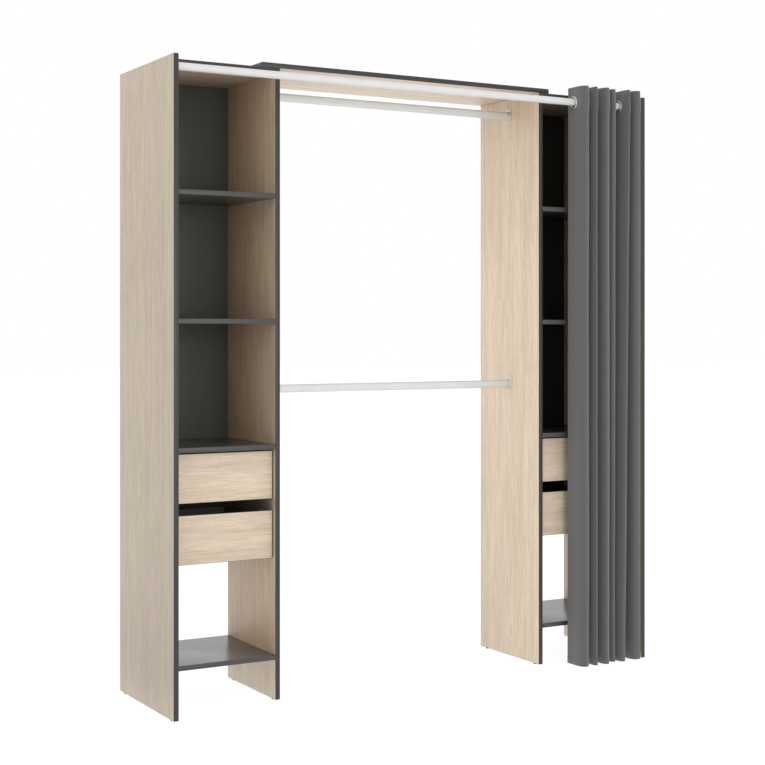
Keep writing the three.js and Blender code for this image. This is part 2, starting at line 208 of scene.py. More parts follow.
# Each fold's tip: its place in the gathered width at the top and at the hem, and its reach
FOLD_TIP_SHARES = [
    (0.081, 0.08, 0.984),
    (0.166, 0.166, 0.9),
    (0.231, 0.23, 1),
    (0.305, 0.305, 0.96),
    (0.419, 0.415, 1),
    (0.502, 0.502, 0.82),
    (0.579, 0.579, 0.694),
    (0.684, 0.628, 0.98),
    (0.792, 0.707, 0.95),
    (0.85, 0.807, 0.86),
    (0.978, 0.976, 0.88),
]
FOLD_COUNT = len(FOLD_TIP_SHARES)
EYELET_COUNT = FOLD_COUNT + 1

# Curtain by height: slow waves up each fold, and a slight bulge where the eyelets hold the cloth
STRAIGHT_HEADER = 130 * MM
HEADER_HEIGHT = 90 * MM
HEM_HEIGHT = 25 * MM
SWAY_WAVES = (1.0, 1.9, 3.1)
SWAY_FADE_SHARE = 0.25
SWAY_ACROSS = 1.0 * MM
SWAY_DEEP = 1.6 * MM
BULGE_HEIGHT = 24 * MM
BULGE_SHIFT = 1.3 * MM
BULGE_REACH_SHARE = 0.035

# Cloth: its thickness, the rows and columns of its mesh, and its holes and stitches
CLOTH_HALF = 0.5 * MM
HEM_EXTRA = 0.4 * MM
CUT_EDGE_SHARE = 0.45
HEM_ROWS = (0.0, 0.5 * MM, 3 * MM, 12 * MM)
TOP_ROWS = (6 * MM, 4 * MM, 0.5 * MM, 0.0)
SEAM_STEP = 1.6 * MM
ROW_GAP = 12 * MM
ROW_SPANS = 42
SAME_ROW = 0.2 * MM
STRIP_RUN = 0.13
HOLE_STEPS = 6
HOLE_RADIUS = 19.7 * MM
TOP_STITCHES = 5 * MM
STITCH_PITCH = 4.2 * MM
STITCH_LENGTH = 2.8 * MM
STITCH_HALF = 0.28 * MM
STITCH_TAPER_SHARES = ((-1, 0.4), (-0.5, 1.0), (0.5, 1.0), (1, 0.4))
THREAD_INDEX = 1

# Weave: its yarns, slubs and clouds per metre along and up the cloth, and how far they change its tone
YARN_PITCH = 0.9 * MM
WARP_SLUBS_PER_METRE = (900, 35, 1)
WEFT_SLUBS_PER_METRE = (35, 900, 1)
CLOUDS_PER_METRE = (3, 1.2, 1)
SLUBS_SPAN = (0.7, 1.3)
SLUBS_SPREAD = 0.06
CROSSING_SPREAD = 0.05
CLOUDS_SPREAD = 0.03
CROSSING_RELIEF_SHARE = 0.5

# Raw edges and hardboard: chips and fibres per metre on each axis, and the chips' tones
CHIPS_PER_METRE = (420, 420, 260)
CHIP_TONES = ((0.3, (0.30, 0.20, 0.11)), (0.5, (0.46, 0.33, 0.19)), (0.7, (0.60, 0.46, 0.29)))
FIBRES_PER_METRE = (160, 160, 60)

# Oak foil: its tones, and by the grain's direction how far it drifts from pink to straw
OAK_PINK = (0.624, 0.502, 0.404)
OAK_STRAW = (0.614, 0.516, 0.372)
OAK_FLECK = (0.390, 0.290, 0.200)
OAK_HUE_SHARES = {"X": (0.25, 0.6), "Z": (0.15, 0.85)}
OAK_WAVE = 7 * MM
OAK_WAVES_PER_METRE = (3.0, 1.6)
OAK_DRIFTS_PER_METRE = (17, 1.3)
OAK_DRIFT_SPAN = (0.36, 0.64)
OAK_RELIEF_SHARE = 0.8

# Oak streaks: how many per metre across and along, and how far the tone strays
OAK_STREAKS = ((14, 0.8, 0.045), (45, 3.2, 0.08), (160, 9, 0.08), (520, 20, 0.08))

# Oak marks, flecks, lines and pores: per metre across and along, noise detail, fade's start and end, strength
OAK_MARKS = (
    (32, 8, 2.0, 0.68, 0.76, 0.5),
    (62, 15, 2.0, 0.66, 0.78, 0.6),
    (300, 11, 1.0, 0.58, 0.72, 0.32),
    (900, 40, 0.0, 0.62, 0.74, 0.4),
)

# The span that most of a noise's values lie in
NOISE_SPAN = (0.3, 0.7)


# Materials

class Nodes:
    """Builds one material's node tree."""

    def __init__(self, name, roughness, metallic=0.0, ior=1.5):
        self.material = bpy.data.materials.new(name)
        self.material.use_nodes = True
        self.tree = self.material.node_tree
        self.shader = self.tree.nodes["Principled BSDF"]
        self.set({"Roughness": roughness, "Metallic": metallic, "IOR": ior})

    def set(self, values):
        """Sets the shader's own sockets."""
        for socket, value in values.items():
            self.feed(self.shader.inputs[socket], value)

    def feed(self, socket, value):
        """Links an output to a socket, or sets the socket's value; a colour gets its alpha here."""
        if isinstance(value, bpy.types.NodeSocket):
            self.tree.links.new(value, socket)
        elif socket.type == "RGBA":
            socket.default_value = (*value, 1.0)
        else:
            socket.default_value = value

    def add(self, kind, inputs=(), **settings):
        """Adds a node with its settings and inputs."""
        node = self.tree.nodes.new(kind)
        for key, value in settings.items():
            setattr(node, key, value)
        for socket, value in dict(inputs).items():
            self.feed(node.inputs[socket], value)
        return node

    def object_coords(self):
        return self.add("ShaderNodeTexCoord").outputs["Object"]

    def scaled(self, coords, scale):
        return self.add("ShaderNodeMapping", {"Vector": coords, "Scale": scale}).outputs[0]

    def noise(self, coords, scale=1.0, detail=2.0, roughness=0.5, output=0):
        inputs = {"Vector": coords, "Scale": scale, "Detail": detail, "Roughness": roughness}
        return self.add("ShaderNodeTexNoise", inputs).outputs[output]

    def ramp(self, factor, stops):
        node = self.add("ShaderNodeValToRGB", {"Fac": factor})
        elements = node.color_ramp.elements
        while len(elements) < len(stops):
            elements.new(0.5)
        for element, (place, colour) in zip(elements, stops):
            element.position = place
            element.color = (*colour, 1.0)
        return node.outputs["Color"]

    def math(self, operation, a, b=0.0):
        return self.add("ShaderNodeMath", {0: a, 1: b}, operation=operation).outputs[0]

    def fade(self, value, low, high, to_low, to_high):
        inputs = {"Value": value, "From Min": low, "From Max": high, "To Min": to_low, "To Max": to_high}
        return self.add("ShaderNodeMapRange", inputs).outputs["Result"]

    def tone(self, noise, spread):
        """A share that follows a noise and strays from 1 by the spread."""
        return self.fade(noise, *NOISE_SPAN, 1.0 - spread, 1.0 + spread)

    def mix(self, blend, factor, a, b):
        node = self.add("ShaderNodeMix", {0: factor, 6: a, 7: b}, data_type="RGBA", blend_type=blend)
        return node.outputs[2]

    def shaded(self, colour, share):
        """The colour times a share."""
        grey = self.add("ShaderNodeCombineColor", {"Red": share, "Green": share, "Blue": share})
        return self.mix("MULTIPLY", 1.0, colour, grey.outputs[0])

    def finish(self, colour, height=None, strength=0.0, distance=0.0):
        """Gives the shader its colour and, where there is one, its relief."""
        self.set({"Base Color": colour})
        if height is not None:
            inputs = {"Height": height, "Strength": strength, "Distance": distance}
            self.set({"Normal": self.add("ShaderNodeBump", inputs).outputs["Normal"]})
        return self.material


def oak(name, along, painted_light_share=1.0):
    """Pale oak foil with its grain along X or Z: a drifting hue, streaks, and dark flecks and pores;
    painted_light_share scales its whole tone, below 1 as painted shade and above 1 as painted light.
    """
    n = Nodes(name, roughness=0.46, ior=1.46)

    def stretched(across, lengthwise):
        return (lengthwise, across, across) if along == "X" else (across, across, lengthwise)

    coords = n.object_coords()
    wave = n.noise(n.scaled(coords, stretched(*OAK_WAVES_PER_METRE)), detail=1.0, output="Color")
    bend = {0: wave, 1: stretched(OAK_WAVE, 0.0), 2: coords}
    warped = n.add("ShaderNodeVectorMath", bend, operation="MULTIPLY_ADD").outputs[0]

    def grain(across, lengthwise, detail=2.0):
        return n.noise(n.scaled(warped, stretched(across, lengthwise)), detail=detail)

    hue = n.fade(grain(*OAK_DRIFTS_PER_METRE), *OAK_DRIFT_SPAN, *OAK_HUE_SHARES[along])
    # the share darkens this copy as painted shade or lightens it as painted light
    pink, straw = (tuple(painted_light_share * part for part in tint) for tint in (OAK_PINK, OAK_STRAW))
    colour = n.mix("MIX", hue, pink, straw)
    for across, lengthwise, spread in OAK_STREAKS:
        streaks = n.tone(grain(across, lengthwise), spread)
        colour = n.shaded(colour, streaks)
    dark = 0.0
    for across, lengthwise, detail, start, end, strength in OAK_MARKS:
        marks = n.fade(grain(across, lengthwise, detail), start, end, 0.0, strength)
        dark = n.math("MAXIMUM", marks, dark)
    colour = n.mix("MIX", dark, colour, OAK_FLECK)
    height = n.math("SUBTRACT", streaks, n.math("MULTIPLY", dark, OAK_RELIEF_SHARE))
    return n.finish(colour, height, strength=0.2, distance=0.25 * MM)


def melamine(name, colour, roughness, ior=1.5):
    """Satin melamine or foil in one colour, with a faint mottle and a pearled surface."""
    n = Nodes(name, roughness, ior=ior)
    coords = n.object_coords()
    clouds = n.noise(coords, scale=6.0, detail=3.0)
    pearl = n.noise(coords, scale=900.0)
    mottled = n.shaded(colour, n.tone(clouds, spread=0.06))
    pearled = n.shaded(mottled, n.tone(pearl, spread=0.04))
    return n.finish(pearled, pearl, strength=0.25, distance=0.06 * MM)


def chipboard():
    """The raw rear edge of a board: pressed chips of several browns."""
    n = Nodes("chipboard", roughness=0.85)
    coords = n.scaled(n.object_coords(), CHIPS_PER_METRE)
    chips = n.add("ShaderNodeTexVoronoi", {"Vector": coords, "Scale": 1.0})
    pick = n.noise(chips.outputs["Color"], scale=3.0, detail=0.0)
    brown = n.ramp(pick, CHIP_TONES)
    return n.finish(brown, chips.outputs["Distance"], strength=0.5, distance=0.3 * MM)


def hardboard(name, colour):
    """Printed hardboard: matt, with a faint fibre texture."""
    n = Nodes(name, roughness=0.62)
    fibre = n.noise(n.scaled(n.object_coords(), FIBRES_PER_METRE), detail=5.0, roughness=0.65)
    toned = n.shaded(colour, n.tone(fibre, spread=0.08))
    return n.finish(toned, fibre, strength=0.3, distance=0.1 * MM)


def painted(name, colour, roughness, metallic=0.0):
    """Powder paint or plating: smooth, with the faintest orange peel."""
    n = Nodes(name, roughness, metallic)
    coords = n.object_coords()
    peel = n.noise(coords, scale=420.0)
    clouds = n.noise(coords, scale=14.0)
    toned = n.shaded(colour, n.tone(clouds, spread=0.03))
    return n.finish(toned, peel, strength=0.08, distance=0.1 * MM)


def plastic(name, colour, roughness):
    """Moulded plastic with a fine spark-eroded grain."""
    n = Nodes(name, roughness)
    grain = n.noise(n.object_coords(), scale=1400.0, detail=1.0)
    toned = n.shaded(colour, n.tone(grain, spread=0.07))
    return n.finish(toned, grain, strength=0.3, distance=0.05 * MM)


def weave(name, colour):
    """Plain-woven polyester: crossing yarns by the cloth's own length and height, slubs and a soft sheen."""
    n = Nodes(name, roughness=0.9, ior=1.35)
    n.set({"Sheen Weight": 0.42, "Sheen Roughness": 0.6})
    coords = n.add("ShaderNodeUVMap", uv_map="cloth").outputs[0]
    parts = n.add("ShaderNodeSeparateXYZ", {0: coords})
    turns = math.pi / YARN_PITCH
    across, upright = (n.math("SINE", n.math("MULTIPLY", parts.outputs[i], turns)) for i in range(2))
    crossing = n.math("MULTIPLY", across, upright)
    warp_slubs = n.noise(n.scaled(coords, WARP_SLUBS_PER_METRE))
    weft_slubs = n.noise(n.scaled(coords, WEFT_SLUBS_PER_METRE))
    slubs = n.math("ADD", warp_slubs, weft_slubs)
    slubs_tone = n.fade(slubs, *SLUBS_SPAN, 1.0 - SLUBS_SPREAD, 1.0 + SLUBS_SPREAD)
    tone = n.math("ADD", slubs_tone, n.math("MULTIPLY", crossing, CROSSING_SPREAD))
    clouds = n.noise(n.scaled(coords, CLOUDS_PER_METRE))
    share = n.math("MULTIPLY", tone, n.tone(clouds, spread=CLOUDS_SPREAD))
    height = n.math("ADD", n.math("MULTIPLY", crossing, CROSSING_RELIEF_SHARE), slubs)
    return n.finish(n.shaded(colour, share), height, strength=0.3, distance=0.12 * MM)


OAK_UPRIGHT = oak("oak_upright", "Z")
OAK_LENGTHWISE = oak("oak_lengthwise", "X")
# Darker copy of the crosswise oak for the drawer fronts: painted shade.
OAK_DRAWER_PAINTED_SHADE = oak("oak_drawer_painted_shade", "X", painted_light_share=0.965)
# Lighter copy of the crosswise oak for the top board: painted light, as from the bright floor below.
OAK_TOP_PAINTED_LIGHT = oak("oak_top_painted_light", "X", painted_light_share=1.12)
EDGE_BAND = melamine("edge_band", (0.033, 0.0322, 0.0312), roughness=0.42, ior=1.45)
ANTHRACITE = melamine("anthracite", (0.062, 0.0615, 0.060), roughness=0.26, ior=1.82)
SHELF_BAND = melamine("shelf_band", (0.057, 0.056, 0.055), roughness=0.42, ior=1.45)
CHIPBOARD = chipboard()
BACK_BOARD = hardboard("back_board", (0.0378, 0.0377, 0.0332))
DRAWER_FOIL = melamine("drawer_foil", (0.155, 0.145, 0.135), roughness=0.5)
DRAWER_BASE = hardboard("drawer_base", (0.045, 0.044, 0.045))
RUNNER_STEEL = painted("runner_steel", (0.74, 0.74, 0.73), roughness=0.35)
ROLLER_NYLON = plastic("roller_nylon", (0.72, 0.72, 0.70), roughness=0.4)
RAIL_METAL = painted("rail_metal", (0.65, 0.665, 0.665), roughness=0.32, metallic=0.35)
SOCKET_PAINT = painted("socket_paint", (0.66, 0.65, 0.62), roughness=0.28, metallic=0.85)
ROD_PAINT = painted("rod_paint", (0.64, 0.64, 0.635), roughness=0.55)
EYELET_METAL = painted("eyelet_metal", (0.62, 0.64, 0.66), roughness=0.24, metallic=0.85)
SCREW_ZINC = painted("screw_zinc", (0.55, 0.55, 0.53), roughness=0.3, metallic=0.9)
GLIDE_PLASTIC = plastic("glide_plastic", (0.01, 0.01, 0.01), roughness=0.8)
CURTAIN_CLOTH = weave("curtain_cloth", (0.090, 0.090, 0.090))
THREAD = plastic("thread", (0.10, 0.10, 0.10), roughness=0.7)


# Mesh helpers

def piece(name, bm, materials, body, replaced=(), smooth=None):
    """Makes an object of a bmesh that rides on a CAD body; smooth is the sharpest angle shown smooth."""
    mesh = bpy.data.meshes.new(name)
    bm.to_mesh(mesh)
    bm.free()
    for material in materials:
        mesh.materials.append(material)
    if smooth is not None:
        mesh.polygons.foreach_set("use_smooth", [True] * len(mesh.polygons))
        mesh.set_sharp_from_angle(angle=math.radians(smooth))
    made = bpy.data.objects.new(name, mesh)
    bpy.context.scene.collection.objects.link(made)
    if body:
        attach(made, body)
    if replaced:
        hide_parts(*replaced)
    return made


def dress(node, material, rounding=0.0):
    """Keeps a CAD node, with its own material and, where given, rounded edges."""
    shown = frame["nodes"][node]
    shown.data.materials.clear()
    shown.data.materials.append(material)
    shown.data.polygons.foreach_set("use_smooth", [False] * len(shown.data.polygons))
    if rounding:
        weld = shown.modifiers.new("weld", "WELD")
        weld.merge_threshold = WELD_DISTANCE
        bevel = shown.modifiers.new("round", "BEVEL")
        bevel.width = rounding
        bevel.segments = ROUND_SEGMENTS
        bevel.limit_method = "ANGLE"
        bevel.angle_limit = SOCKET_SHARP


def rounded_box(bm, low, high, rounding):
    """Adds a box with rounded edges between two corners."""
    size = high - low
    matrix = Matrix.Translation((low + high) / 2) @ Matrix.Diagonal((*size, 1))
    verts = bmesh.ops.create_cube(bm, size=1, matrix=matrix)["verts"]
    edges = list(dict.fromkeys(edge for vert in verts for edge in vert.link_edges))
    bmesh.ops.bevel(bm, geom=edges, offset=rounding, segments=ROUND_SEGMENTS, profile=0.5, affect="EDGES")


def order_faces(bm):
    """Sorts the faces by their verts, because a plane cut leaves them in another order each run."""
    bm.verts.index_update()
    ordered = sorted(bm.faces, key=lambda face: sorted(vert.index for vert in face.verts))
    places = {face: place for place, face in enumerate(ordered)}
    bm.faces.sort(key=places.get)


def bridge(bm, loops):
    """Joins closed loops of verts, each to the next, and returns the faces."""
    faces = []
    for near, far in zip(loops, loops[1:]):
        for i in range(len(near)):
            j = (i + 1) % len(near)
            faces.append(bm.faces.new((near[i], near[j], far[j], far[i])))
    return faces


def sweep(bm, profile, stations, closed):
    """Joins copies of a closed profile of (along, out) pairs, one at each (origin, along, out) station."""
    loops = []
    for origin, along, out in stations:
        loops.append([bm.verts.new(origin + along * a + out * o) for a, o in profile])
    if closed:
        loops.append(loops[0])
    bridge(bm, loops)
    if not closed:
        bm.faces.new(loops[0])
        bm.faces.new(loops[-1])


def sweep_along_y(bm, outline, wall, facing, front, back):
    """Draws an outline of (distance from a wall, height) pairs out between two depths."""
    across, up = Vector((facing, 0, 0)), Vector((0, 0, 1))
    sweep(bm, outline, [(Vector((wall, y, 0)), across, up) for y in (front, back)], False)


def seal(bm):
    """Merges points that fall together, as on an axis, and turns all faces outwards."""
    bmesh.ops.remove_doubles(bm, verts=bm.verts, dist=SEAL_DISTANCE)
    bmesh.ops.recalc_face_normals(bm, faces=bm.faces)


def round_stations(centre, axis, sides, rise=0.0):
    """Stations around an axis: a circle, or with a rise an upright oval of two half circles."""
    stations = []
    for i in range(sides):
        angle = 2 * math.pi * (i + 0.5) / sides
        c, s = math.cos(angle), math.sin(angle)
        if axis == "X":
            out, along, lift = Vector((0, c, s)), Vector((1, 0, 0)), Vector((0, 0, math.copysign(rise, s)))
        else:
            out, along, lift = Vector((c, s, 0)), Vector((0, 0, 1)), Vector((0, 0, 0))
        stations.append((centre + lift, along, out))
    return stations


def middle(node):
    """The centre of a node's box."""
    low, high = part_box(node)
    return (low + high) / 2


# Boards

def board(node, skin, front_edge=EDGE_BAND, rear_edge=EDGE_BAND, rounding=EDGE_ROUND):
    """A board in its node's place: a skin on both faces and a band on each edge, folded over in front."""
    low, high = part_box(node)
    if node.endswith("_side"):
        low.z += GLIDE_HEIGHT
    size = high - low
    thin = min(range(3), key=lambda axis: size[axis])
    faces_front = thin == 1
    band_end = low.y + BAND_DEPTH
    bm = bmesh.new()
    rounded_box(bm, low, high, rounding)
    geometry = [*bm.verts, *bm.edges, *bm.faces]
    cut = {"plane_co": (0, band_end, 0), "plane_no": (0, 1, 0), "dist": CUT_PRECISION}
    bmesh.ops.bisect_plane(bm, geom=geometry, **cut)
    order_faces(bm)
    for face in bm.faces:
        depth = face.calc_center_median().y
        if depth < band_end and not faces_front:
            face.material_index = FRONT_EDGE
        elif abs(face.normal[thin]) > FLAT_ON_SHARE:
            face.material_index = SKIN
        elif depth > high.y - rounding and not faces_front:
            face.material_index = REAR_EDGE
        else:
            face.material_index = END_EDGE
    return bm, [skin, front_edge, EDGE_BAND, rear_edge]


def make_board(node, slot, skin, **edges):
    """A board as a piece of its own on the root."""
    bm, materials = board(node, skin, **edges)
    piece(f"{node}_board", bm, materials, "root", [node], smooth=BOARD_SMOOTH)


def glide(name, place):
    """A nail-in glide under a side panel: a black pad with a rounded foot."""
    profile = [(GLIDE_HEIGHT * up, GLIDE_RADIUS * out) for up, out in GLIDE_PROFILE_SHARES]
    bm = bmesh.new()
    sweep(bm, profile, round_stations(Vector(place), "Z", GLIDE_SIDES), True)
    seal(bm)
    piece(name, bm, [GLIDE_PLASTIC], "root", smooth=TURNED_SMOOTH)


def column(side):
    """One column: sides with their glides, top panel, shelves and the hardboard back."""
    for which in ("outer", "inner"):
        node = f"{side}_{which}_side"
        make_board(node, "side_panel", OAK_UPRIGHT, rear_edge=CHIPBOARD)
        low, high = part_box(node)
        for end, y in (("front", low.y + GLIDE_INSET), ("rear", high.y - GLIDE_INSET)):
            glide(f"{node}_{end}_glide", ((low.x + high.x) / 2, y, low.z))
    make_board(f"{side}_top_panel", "shelf", OAK_LENGTHWISE, rear_edge=CHIPBOARD)
    for level in ("upper", "middle", "drawer", "bottom"):
        make_board(f"{side}_{level}_shelf", "shelf", ANTHRACITE, front_edge=SHELF_BAND, rear_edge=CHIPBOARD)
    dress(f"{side}_back", BACK_BOARD)


# Drawers

def drawer_box(name):
    """The folded box: one grooved profile swept round the two sides and the back, with mitred corners."""
    low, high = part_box(f"{name}_box")
    base_low, base_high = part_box(f"{name}_bottom")
    left = base_low.x + BOTTOM_GRIP - GROOVE_PLAY
    right = base_high.x - BOTTOM_GRIP + GROOVE_PLAY
    inner_back = high.y - BOX_WALL
    groove_low = base_low.z - GROOVE_PLAY
    groove_high = base_high.z + GROOVE_PLAY
    profile = [
        (groove_low, 0.0),
        (low.z + BOX_ROUND, 0.0),
        (low.z, BOX_ROUND),
        (low.z, BOX_WALL - BOX_ROUND),
        (low.z + BOX_ROUND, BOX_WALL),
        (high.z - BOX_ROUND, BOX_WALL),
        (high.z, BOX_WALL - BOX_ROUND),
        (high.z, BOX_ROUND),
        (high.z - BOX_ROUND, 0.0),
        (groove_high, 0.0),
        (groove_high, BOTTOM_GRIP),
        (groove_low, BOTTOM_GRIP),
    ]
    up = Vector((0, 0, 1))
    corners = [
        ((left, low.y), (-1, 0)),
        ((left, inner_back), (-1, 1)),
        ((right, inner_back), (1, 1)),
        ((right, low.y), (1, 0)),
    ]
    stations = [(Vector((*place, 0)), up, Vector((*out, 0))) for place, out in corners]
    bm = bmesh.new()
    sweep(bm, profile, stations, False)
    seal(bm)
    piece(f"{name}_folded_box", bm, [DRAWER_FOIL], name, [f"{name}_box"])
    return left - BOX_WALL, right + BOX_WALL


def slide_outline(low, high):
    """The drawer's slide: an upright web on the box, and a top flange with its edge turned down."""
    lip = high - 3 * SLIDE_SHEET
    return [
        (0.0, low),
        (SLIDE_SHEET, low),
        (SLIDE_SHEET, high - SLIDE_SHEET),
        (SLIDE_REACH - SLIDE_SHEET, high - SLIDE_SHEET),
        (SLIDE_REACH - SLIDE_SHEET, lip),
        (SLIDE_REACH, lip),
        (SLIDE_REACH, high),
        (0.0, high),
    ]


def channel_outline(depth, low, high):
    """The panel's channel: a web on the panel and two flanges."""
    return [
        (0.0, low),
        (depth, low),
        (depth, low + CHANNEL_SHEET),
        (CHANNEL_SHEET, low + CHANNEL_SHEET),
        (CHANNEL_SHEET, high - CHANNEL_SHEET),
        (depth, high - CHANNEL_SHEET),
        (depth, high),
        (0.0, high),
    ]


def roller(bm, place, facing):
    """A nylon wheel about X, with its hub towards the facing side."""
    half = ROLLER_WIDTH / 2
    r = ROLLER_RADIUS
    foot_share, cap_share = HUB_SHARES
    profile = [
        (-half, 0.0),
        (-half, r - ROLLER_EDGE),
        (ROLLER_EDGE - half, r),
        (half - ROLLER_EDGE, r),
        (half, r - ROLLER_EDGE),
        (half, foot_share * r),
        (half + 0.5 * ROLLER_EDGE, cap_share * r),
        (half + 0.5 * ROLLER_EDGE, 0.0),
    ]
    stations = round_stations(place, "X", ROLLER_SIDES)
    sweep(bm, profile, [(origin, along * facing, out) for origin, along, out in stations], True)


def slides(name, end, facing, side_face):
    """One slide of a drawer with its rear wheel, and the channel on the panel that it runs in."""
    low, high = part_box(f"{name}_{end}_runner")
    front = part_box(f"{name}_box")[0].y
    back = front + SLIDE_LENGTH
    wall = low.x if facing > 0 else high.x
    slide_low = low.z + CHANNEL_SHEET + SLIDE_PLAY
    slide_high = high.z - CHANNEL_SHEET - SLIDE_HEADROOM
    bm = bmesh.new()
    sweep_along_y(bm, slide_outline(slide_low, slide_high), side_face, -facing, front, back)
    seal(bm)
    piece(f"{name}_{end}_slide", bm, [RUNNER_STEEL], name)
    bm = bmesh.new()
    wheel_x = side_face - facing * (SLIDE_SHEET + SLIDE_PLAY + ROLLER_WIDTH / 2)
    roller(bm, Vector((wheel_x, back - 2 * ROLLER_RADIUS, slide_low + ROLLER_RADIUS)), -facing)
    seal(bm)
    piece(f"{name}_{end}_rear_wheel", bm, [ROLLER_NYLON], name, smooth=TURNED_SMOOTH)
    bm = bmesh.new()
    sweep_along_y(bm, channel_outline(high.x - low.x, low.z, high.z), wall, facing, low.y, high.y)
    seal(bm)
    piece(f"{name}_{end}_channel", bm, [RUNNER_STEEL], "root", [f"{name}_{end}_runner"])


def drawer(name):
    """A drawer: its oak front, folded box, hardboard bottom and slides."""
    # The front wears the darker oak copy: painted shade.
    bm, materials = board(f"{name}_front", OAK_DRAWER_PAINTED_SHADE, rounding=FRONT_ROUND)
    piece(f"{name}_face", bm, materials, name, [f"{name}_front"], smooth=BOARD_SMOOTH)
    left_face, right_face = drawer_box(name)
    slides(name, "left", 1, left_face)
    slides(name, "right", -1, right_face)
    dress(f"{name}_bottom", DRAWER_BASE)


# Rails, rod and eyelets

def tube(node, radius, rise, wall, material):
    """A tube along X in its node's place: round, or with a rise an upright oval. Returns its left end."""
    low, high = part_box(node)
    length = high.x - low.x
    start = Vector((low.x, (low.y + high.y) / 2, (low.z + high.z) / 2))
    profile = [(0.0, radius - wall), (0.0, radius), (length, radius), (length, radius - wall)]
    bm = bmesh.new()
    sweep(bm, profile, round_stations(start, "X", TUBE_SIDES, rise), True)
    seal(bm)
    piece(f"{node}_tube", bm, [material], "root", [node], smooth=TURNED_SMOOTH)
    return start


def screw_head(bm, place, facing):
    """A domed screw head on a wall across X, with a cross recess pressed into it."""
    arm_share, reach_share = RECESS_ARM_SHARES
    rows = []
    for i in range(SCREW_RINGS + 1):
        share = i / SCREW_RINGS
        row = []
        for k in range(SCREW_SPOKES):
            angle = 2 * math.pi * (k + 0.5) / SCREW_SPOKES
            a, b = share * math.cos(angle), share * math.sin(angle)
            height = SCREW_DOME_SHARE * SCREW_RADIUS * math.sqrt(1 - SCREW_FALL_SHARE * share * share)
            if min(abs(a), abs(b)) < arm_share and max(abs(a), abs(b)) < reach_share:
                height -= RECESS_DEPTH_SHARE * SCREW_RADIUS
            x = place.x + facing * height
            row.append(bm.verts.new((x, place.y + a * SCREW_RADIUS, place.z + b * SCREW_RADIUS)))
        rows.append(row)
    rim = [bm.verts.new((place.x, v.co.y, v.co.z)) for v in rows[-1]]
    bridge(bm, rows + [rim])
    bm.faces.new(rim)


def hanging_rail(name):
    """An oval tube between its two sockets, each held by a screw."""
    low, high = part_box(name)
    radius = (high.y - low.y) / 2
    rise = (high.z - low.z) / 2 - radius
    start = tube(name, radius, rise, RAIL_WALL, RAIL_METAL)
    for end, facing in (("left", 1), ("right", -1)):
        node = f"{name}_{end}_socket"
        dress(node, SOCKET_PAINT, SOCKET_ROUND)
        socket_low, socket_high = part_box(node)
        wall = socket_low.x if facing > 0 else socket_high.x
        bm = bmesh.new()
        screw_head(bm, Vector((wall + facing * TAB_THICKNESS, start.y, start.z + SCREW_LIFT)), facing)
        seal(bm)
        piece(f"{node}_screw", bm, [SCREW_ZINC], "root", smooth=SCREW_SMOOTH)


def curtain_rod():
    """The round rod and the cups that hold its ends."""
    low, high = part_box("curtain_rod")
    tube("curtain_rod", (high.z - low.z) / 2, 0.0, ROD_WALL, ROD_PAINT)
    for end in SIDES:
        dress(f"curtain_rod_{end}_cup", SOCKET_PAINT, SOCKET_ROUND)


def eyelet_body(index):
    """The body of an eyelet; they are counted from the leading edge."""
    return "curtain_tail" if index == EYELET_COUNT else f"curtain_ring_{index:02d}"


def eyelet(index):
    """A pressed eyelet: two rounded flanges over the cloth and a smooth bore."""
    node = f"eyelet_{index:02d}"
    low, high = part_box(node)
    half = (high.x - low.x) / 2
    radius = (high.z - low.z) / 2
    bore = radius - FLANGE_WIDTH
    groove = radius - GROOVE_DEPTH
    lip = CLOTH_HALF + HEM_EXTRA + EYELET_PLAY
    flange = []
    for i in range(FLANGE_STEPS + 1):
        angle = math.pi * i / FLANGE_STEPS
        out = (bore + radius) / 2 - (radius - bore) / 2 * math.cos(angle)
        flange.append((lip + (half - lip) * math.sin(angle), out))
    profile = flange + [(lip, groove), (-lip, groove)]
    profile += [(-along, out) for along, out in reversed(flange)]
    bm = bmesh.new()
    sweep(bm, profile, round_stations(middle(node), "X", RING_SIDES), True)
    seal(bm)
    body = eyelet_body(index)
    return piece(f"{node}_ring", bm, [EYELET_METAL], body, [node], smooth=EYELET_SMOOTH)


# Curtain

CLOTH_LOW, CLOTH_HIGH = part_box("curtain")
CLOTH_HEIGHT = CLOTH_HIGH.z - CLOTH_LOW.z
LEAN_HEIGHT = CLOTH_HEIGHT - STRAIGHT_HEADER
HEADER_SEAM = CLOTH_HEIGHT - HEADER_HEIGHT
CROSSINGS = [middle(f"eyelet_{i + 1:02d}").x for i in range(EYELET_COUNT)]
EYELET_Z = middle("eyelet_01").z
RIGHT_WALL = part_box("right_outer_side")[0].x


def sway(fold, height, amount, seed):
    """A slow, small wave up the cloth, its own for each fold, that dies out at the stiff header."""
    draws = random.Random(100 * seed + fold)
    total = 0.0
    for waves in SWAY_WAVES:
        swing = draws.uniform(-1, 1)
        total += swing * math.sin(2 * math.pi * (waves * height / CLOTH_HEIGHT + draws.random()))
    below = max(0.0, min(1.0, (HEADER_SEAM - height) / (SWAY_FADE_SHARE * CLOTH_HEIGHT)))
    return amount * total / 2 * below


def gathered(share):
    """A place across the gathered curtain, from its leading edge to the last crossing."""
    return CROSSINGS[-1] - GATHER_WIDTH * (1 - share)


def straightness(height):
    """0 at the hem and 1 in the straight header."""
    return min(1.0, height / LEAN_HEIGHT)


def leg(index, height):
    """Where the cloth crosses the rod's line at a height: at its eyelet, or leaning away below it."""
    hem = gathered(CROSSING_HEM_SHARES[index])
    return hem + straightness(height) * (CROSSINGS[index] - hem)


